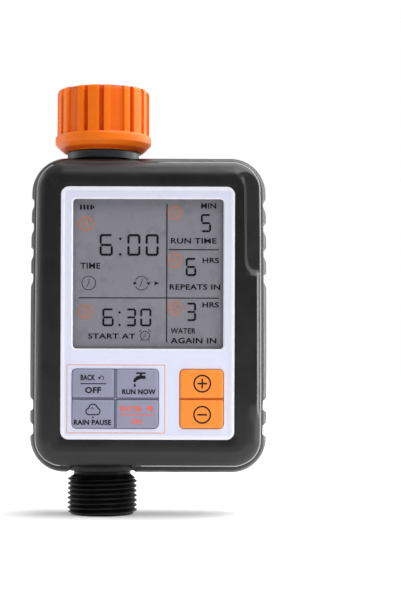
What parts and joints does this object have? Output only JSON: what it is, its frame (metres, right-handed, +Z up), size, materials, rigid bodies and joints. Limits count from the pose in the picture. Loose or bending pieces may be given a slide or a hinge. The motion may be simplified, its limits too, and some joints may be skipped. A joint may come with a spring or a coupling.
{
  "type": "drip irrigation timer",
  "caption": "Battery tap timer: grey two-part case, display, rubber keys, ribbed orange inlet nut on top, threaded outlet below, motor-driven ball valve inside.",
  "frame": {"origin": "centre of the inlet nut's mouth, on the axis of the water line", "axes": "+Z up along the water line, the way the tap leaves; -Y is the display side; +X is to the display's right"},
  "size_m": [0.0889, 0.0412, 0.1601],
  "materials": {
    "shell_plastic": "fine satin moulding",
    "black_plastic": "satin moulding",
    "collar_plastic": "satin moulding",
    "nut_plastic": "satin moulding",
    "panel_plastic": "smooth printed panel",
    "lens_acrylic": "clear acrylic",
    "display_glass": "liquid crystal glass",
    "reflector_film": "grey film",
    "menu_key_rubber": "moulded silicone",
    "adjust_key_rubber": "moulded silicone",
    "seal_rubber": "moulded",
    "filter_plastic": "moulded",
    "white_plastic": "natural acetal",
    "plated_brass": "nickel plated",
    "steel": "plated",
    "board_laminate": "solder mask over glass laminate",
    "component_black": "moulded epoxy",
    "cell_sleeve": "steel can in a plastic sleeve"
  },
  "bodies": {
    "housing": {"front_shell": "shell_plastic", "rear_shell": "shell_plastic", "shell_seal": "seal_rubber", "shell_screws": "steel", "face_panel": "panel_plastic", "display_lens": "lens_acrylic", "display_glass": "display_glass", "display_reflector": "reflector_film", "display_frame": "black_plastic", "contact_strips": "seal_rubber", "main_board": "board_laminate", "board_components": "component_black", "board_screws": "steel", "contact_domes": "steel", "keypad_mat_menu": "menu_key_rubber", "keypad_mat_adjust": "adjust_key_rubber", "inlet_tailpiece": "collar_plastic", "inlet_washer": "seal_rubber", "filter_screen": "filter_plastic", "valve_body": "collar_plastic", "ball_seats": "white_plastic", "line_seals": "seal_rubber", "outlet_spout": "black_plastic", "gearbox_base": "white_plastic", "gearbox_cover": "white_plastic", "gearbox_screws": "steel", "gear_axles": "steel", "limit_switches": "component_black", "motor_can": "steel", "motor_end_cap": "white_plastic", "battery_tray": "black_plastic", "battery_left": "cell_sleeve", "battery_right": "cell_sleeve", "contact_springs": "steel", "contact_plates": "steel", "door_hinge_pin": "steel"},
    "swivel_nut": {"inlet_nut": "nut_plastic"},
    "ball_drive": {"valve_ball": "plated_brass", "valve_stem": "plated_brass", "stem_seals": "seal_rubber", "output_gear": "white_plastic"},
    "second_gear_body": {"second_gear": "white_plastic"},
    "first_gear_body": {"first_gear": "white_plastic"},
    "motor_rotor": {"motor_pinion": "white_plastic", "motor_shaft": "steel"},
    "door": {"battery_door": "black_plastic", "door_seal": "seal_rubber"},
    "back_off_key": {"key_back_off": "menu_key_rubber"},
    "manual_key": {"key_manual": "menu_key_rubber"},
    "rain_key": {"key_rain": "menu_key_rubber"},
    "set_key": {"key_set": "menu_key_rubber"},
    "plus_key": {"key_plus": "adjust_key_rubber"},
    "minus_key": {"key_minus": "adjust_key_rubber"}
  },
  "joints": [
    {"name": "nut_spin", "type": "hinge", "parent": "housing", "child": "swivel_nut", "pos_m": [0, 0, 0], "axis": [0, 0, 1], "continuous": true},
    {"name": "ball_turn", "type": "hinge", "parent": "housing", "child": "ball_drive", "pos_m": [0, 0, -0.057], "axis": [1, 0, 0], "range_deg": [0, 90]},
    {"name": "second_gear_spin", "type": "hinge", "parent": "housing", "child": "second_gear_body", "pos_m": [0.024, 0.006, -0.049], "axis": [1, 0, 0], "range_deg": [-270, 0]},
    {"name": "first_gear_spin", "type": "hinge", "parent": "housing", "child": "first_gear_body", "pos_m": [0.0267, 0, -0.041], "axis": [1, 0, 0], "range_deg": [0, 810]},
    {"name": "motor_spin", "type": "hinge", "parent": "housing", "child": "motor_rotor", "pos_m": [0.0267, 0.008, -0.035], "axis": [1, 0, 0], "range_deg": [-2430, 0]},
    {"name": "door_swing", "type": "hinge", "parent": "housing", "child": "door", "pos_m": [0.0358, 0.0166, -0.1346], "axis": [-1, 0, 0], "range_deg": [0, 100]},
    {"name": "back_off_press", "type": "slide", "parent": "housing", "child": "back_off_key", "axis": [0, 1, 0], "range_m": [0, 0.0006], "stiffness_N_per_m": 400, "springref_m": -0.0003},
    {"name": "manual_press", "type": "slide", "parent": "housing", "child": "manual_key", "axis": [0, 1, 0], "range_m": [0, 0.0006], "stiffness_N_per_m": 400, "springref_m": -0.0003},
    {"name": "rain_press", "type": "slide", "parent": "housing", "child": "rain_key", "axis": [0, 1, 0], "range_m": [0, 0.0006], "stiffness_N_per_m": 400, "springref_m": -0.0003},
    {"name": "set_press", "type": "slide", "parent": "housing", "child": "set_key", "axis": [0, 1, 0], "range_m": [0, 0.0006], "stiffness_N_per_m": 400, "springref_m": -0.0003},
    {"name": "plus_press", "type": "slide", "parent": "housing", "child": "plus_key", "axis": [0, 1, 0], "range_m": [0, 0.0006], "stiffness_N_per_m": 400, "springref_m": -0.0003},
    {"name": "minus_press", "type": "slide", "parent": "housing", "child": "minus_key", "axis": [0, 1, 0], "range_m": [0, 0.0006], "stiffness_N_per_m": 400, "springref_m": -0.0003}
  ],
  "couplings": [
    {"joint": "second_gear_spin", "follows": "ball_turn", "ratio": -3},
    {"joint": "first_gear_spin", "follows": "ball_turn", "ratio": 9},
    {"joint": "motor_spin", "follows": "ball_turn", "ratio": -27}
  ]
}
